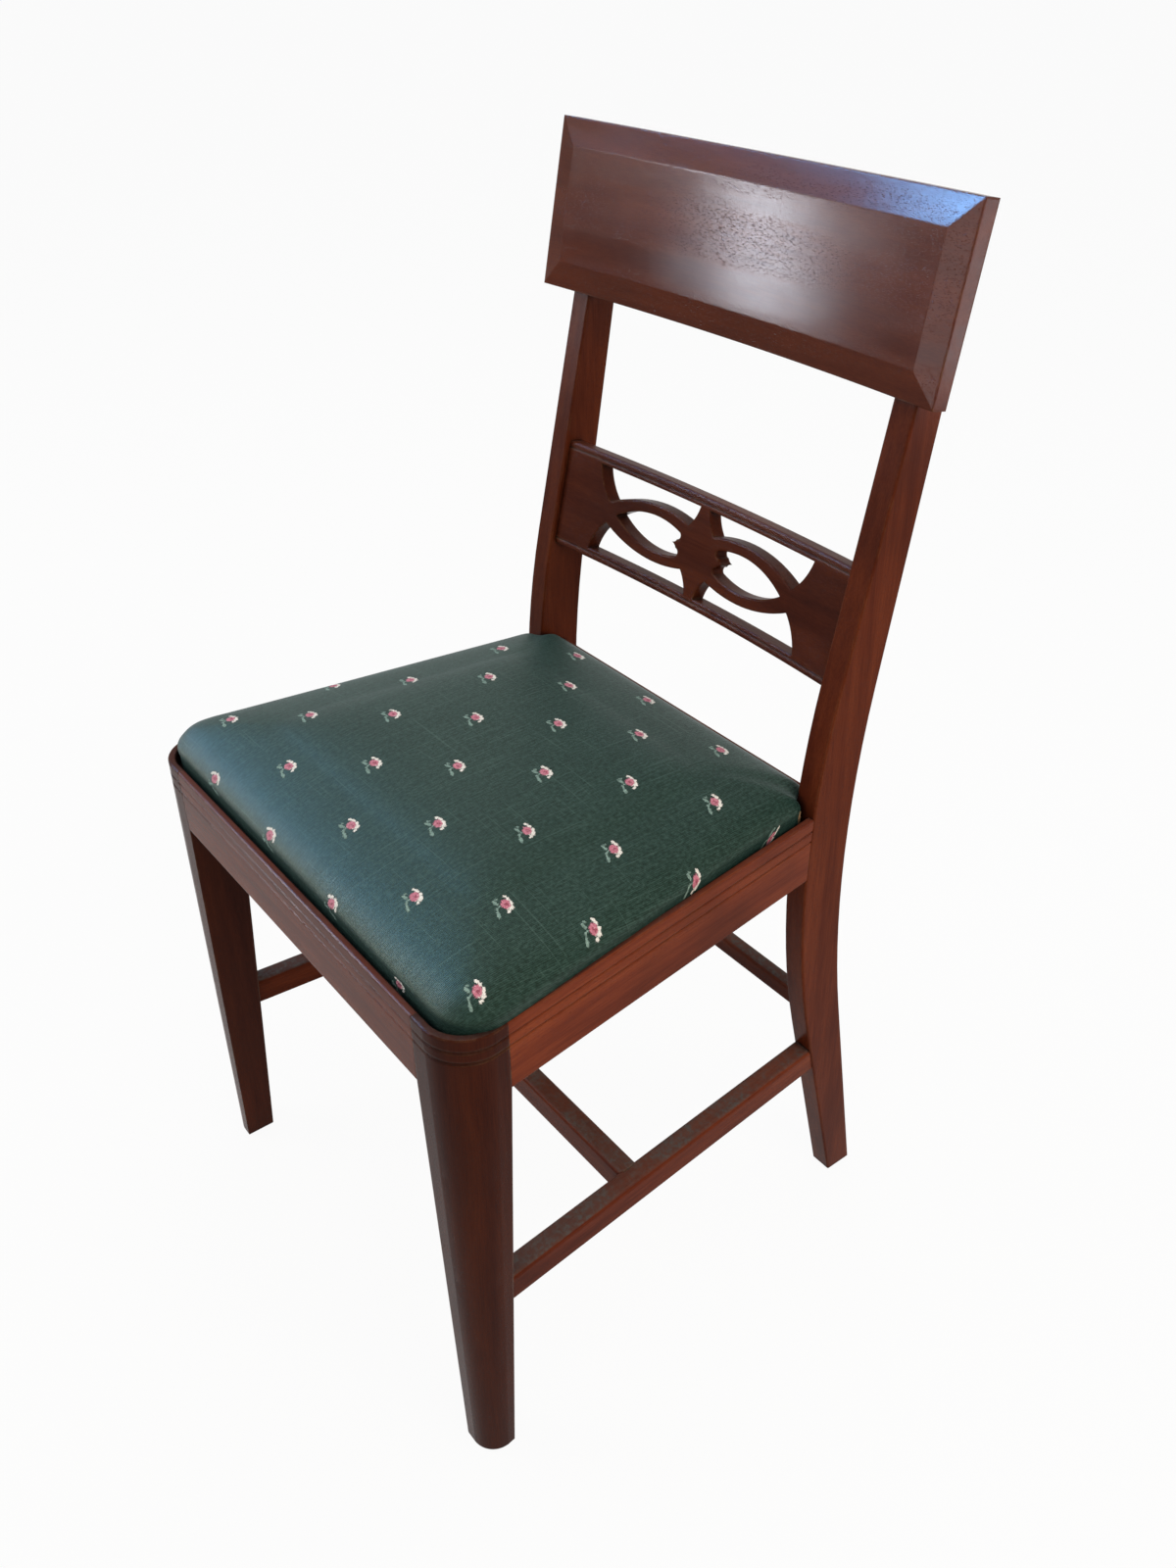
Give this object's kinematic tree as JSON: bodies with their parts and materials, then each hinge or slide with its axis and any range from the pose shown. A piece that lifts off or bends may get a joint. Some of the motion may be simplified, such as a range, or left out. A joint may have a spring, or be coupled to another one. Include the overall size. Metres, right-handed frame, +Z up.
{
  "type": "dining chair",
  "caption": "Mahogany side chair with a raked bevelled tablet back, pierced bowed splat, tapered front legs, sabre rear legs, stretchers and a drop-in seat in sprigged green cloth.",
  "frame": {"origin": "middle of the footprint's bounding box, on the floor", "axes": "+X to the sitter's left seen from the front (right in plan), -Y the way the chair faces, +Z up"},
  "size_m": [0.4374, 0.448, 0.854],
  "materials": {
    "mahogany": "satin polish over a dark red-brown stain",
    "beech": "bare planed wood",
    "dowel_beech": "bare turned wood",
    "webbing": "woven jute",
    "hessian": "woven jute",
    "stuffing": "felted cotton and hair",
    "cover": "ribbed woven cloth with small sprigs"
  },
  "bodies": {
    "root": {"front_leg_left": "mahogany", "front_leg_right": "mahogany", "rear_post_left": "mahogany", "rear_post_right": "mahogany", "crest_rail": "mahogany", "back_splat": "mahogany", "front_seat_rail": "mahogany", "rear_seat_rail": "mahogany", "side_seat_rail_left": "mahogany", "side_seat_rail_right": "mahogany", "side_stretcher_left": "mahogany", "side_stretcher_right": "mahogany", "cross_stretcher": "mahogany", "rear_stretcher": "mahogany", "corner_block_front_left": "beech", "corner_block_rear_left": "beech", "corner_block_front_right": "beech", "corner_block_rear_right": "beech", "seat_frame_front": "beech", "seat_frame_rear": "beech", "seat_frame_left": "beech", "seat_frame_right": "beech", "seat_webbing": "webbing", "seat_hessian": "hessian", "seat_padding": "stuffing", "seat_cover": "cover", "crest_dowels": "dowel_beech"}
  },
  "joints": []
}
